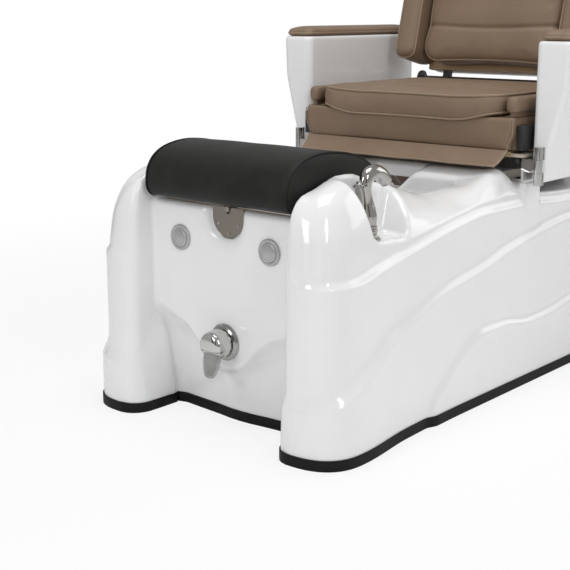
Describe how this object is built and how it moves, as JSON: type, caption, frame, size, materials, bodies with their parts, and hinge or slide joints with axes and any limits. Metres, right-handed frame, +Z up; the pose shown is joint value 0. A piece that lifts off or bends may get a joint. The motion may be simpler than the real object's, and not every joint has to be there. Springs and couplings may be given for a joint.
{
  "type": "pedicure spa chair",
  "caption": "Pedicure spa chair: a moulded base with a foot basin, lifting footrest, mixer and hand sprayer, a sliding seat, a reclining back and swing-out arms.",
  "frame": {"origin": "on the floor, under the middle of the base's length and width", "axes": "+X to the right as seen from the footrest end, +Y from the footrest end towards the backrest, +Z up"},
  "size_m": [0.8268, 1.3567, 1.3086],
  "materials": {
    "shell_white": "high-gloss moulded acrylic",
    "tub_white": "high-gloss moulded acrylic",
    "rubber_black": "matte",
    "frame_steel": "satin black paint",
    "stainless": "brushed",
    "rest_vinyl": "satin black vinyl",
    "plywood": "bare plywood",
    "chrome": "polished",
    "button_grey": "satin grey",
    "valve_brass": "machined",
    "jet_plastic": "gloss",
    "niche_brown": "smoked, glossy",
    "leather_taupe": "satin taupe with lighter piping",
    "black_plastic": "satin black",
    "bracket_beige": "satin beige paint"
  },
  "bodies": {
    "base": {"base_shell": "shell_white", "basin_tub": "tub_white", "skirting": "rubber_black", "base_frame": "frame_steel", "levelling_feet": "rubber_black", "bracket_plate": "stainless", "plate_rivets": "stainless", "lock_screw": "stainless", "button_bezel_left": "chrome", "button_bezel_right": "chrome", "mixer_escutcheon": "chrome", "mixer_valve": "valve_brass", "sprayer_holder": "chrome", "drain_flange": "chrome", "jet_housing": "jet_plastic", "jet_cover": "jet_plastic", "niche_panel": "niche_brown", "rear_panel": "jet_plastic", "rear_screws": "stainless", "cable_gland": "rubber_black", "seat_rails": "stainless", "base_hinge_left": "chrome", "base_hinge_right": "chrome"},
    "footrest": {"footrest_pad": "rest_vinyl", "footrest_board": "plywood", "footrest_stem": "stainless"},
    "button_left": {"button_cap_left": "button_grey"},
    "button_right": {"button_cap_right": "button_grey"},
    "mixer": {"mixer_hub": "chrome"},
    "lever": {"mixer_lever": "chrome"},
    "sprayer": {"sprayer_body": "chrome"},
    "trigger": {"sprayer_trigger": "chrome"},
    "plug": {"drain_plug": "chrome"},
    "impeller": {"jet_impeller": "jet_plastic"},
    "seat": {"seat_frame": "frame_steel", "seat_pan": "plywood", "seat_base": "leather_taupe", "seat_front_panel": "leather_taupe", "seat_flap": "leather_taupe", "seat_cushion": "leather_taupe", "seat_side_pads": "leather_taupe", "seat_side_boxes": "black_plastic", "seat_brackets": "bracket_beige", "bracket_knobs": "black_plastic", "hinge_plates": "frame_steel"},
    "backrest": {"back_frame": "frame_steel", "back_board": "plywood", "back_cover": "shell_white", "back_cushion": "leather_taupe", "back_upper_cushion": "leather_taupe", "back_side_bolsters": "leather_taupe", "head_pillow": "leather_taupe"},
    "arm_left": {"arm_shell_left": "shell_white", "arm_pad_left": "leather_taupe", "arm_hinge_left": "chrome"},
    "arm_right": {"arm_shell_right": "shell_white", "arm_pad_right": "leather_taupe", "arm_hinge_right": "chrome"}
  },
  "joints": [
    {"name": "footrest_lift", "type": "slide", "parent": "base", "child": "footrest", "axis": [0, 0, 1], "range_m": [0, 0.06]},
    {"name": "button_left_press", "type": "slide", "parent": "base", "child": "button_left", "axis": [0, 1, 0], "range_m": [0, 0.004], "stiffness_N_per_m": 400, "springref_m": -0.002},
    {"name": "button_right_press", "type": "slide", "parent": "base", "child": "button_right", "axis": [0, 1, 0], "range_m": [0, 0.004], "stiffness_N_per_m": 400, "springref_m": -0.002},
    {"name": "mixer_turn", "type": "hinge", "parent": "base", "child": "mixer", "pos_m": [0, -0.59, 0.185], "axis": [0, 1, 0], "range_deg": [-80, 80]},
    {"name": "mixer_tilt", "type": "hinge", "parent": "mixer", "child": "lever", "pos_m": [0, -0.6066, 0.17105], "axis": [-1, 0, 0], "range_deg": [0, 25]},
    {"name": "sprayer_lift", "type": "slide", "parent": "base", "child": "sprayer", "axis": [0, 0, 1], "range_m": [0, 0.15]},
    {"name": "sprayer_squeeze", "type": "hinge", "parent": "sprayer", "child": "trigger", "pos_m": [0.259, -0.4596, 0.523], "axis": [1, 0, 0], "range_deg": [0, 5], "stiffness_Nm_per_rad": 0.6, "springref_deg": -2.86},
    {"name": "plug_lift", "type": "slide", "parent": "base", "child": "plug", "axis": [0, 0, 1], "range_m": [0, 0.012]},
    {"name": "jet_spin", "type": "hinge", "parent": "base", "child": "impeller", "pos_m": [-0.2206, -0.26, 0.3], "axis": [1, 0, 0], "continuous": true},
    {"name": "seat_slide", "type": "slide", "parent": "base", "child": "seat", "axis": [0, 1, 0], "range_m": [0, 0.12]},
    {"name": "back_recline", "type": "hinge", "parent": "seat", "child": "backrest", "pos_m": [0, 0.522, 0.668], "axis": [-1, 0, 0], "range_deg": [0, 35]},
    {"name": "arm_left_swing", "type": "hinge", "parent": "base", "child": "arm_left", "pos_m": [-0.348, 0.088, 0.5], "axis": [0, 0, 1], "range_deg": [0, 95]},
    {"name": "arm_right_swing", "type": "hinge", "parent": "base", "child": "arm_right", "pos_m": [0.348, 0.088, 0.5], "axis": [0, 0, -1], "range_deg": [0, 95]}
  ]
}
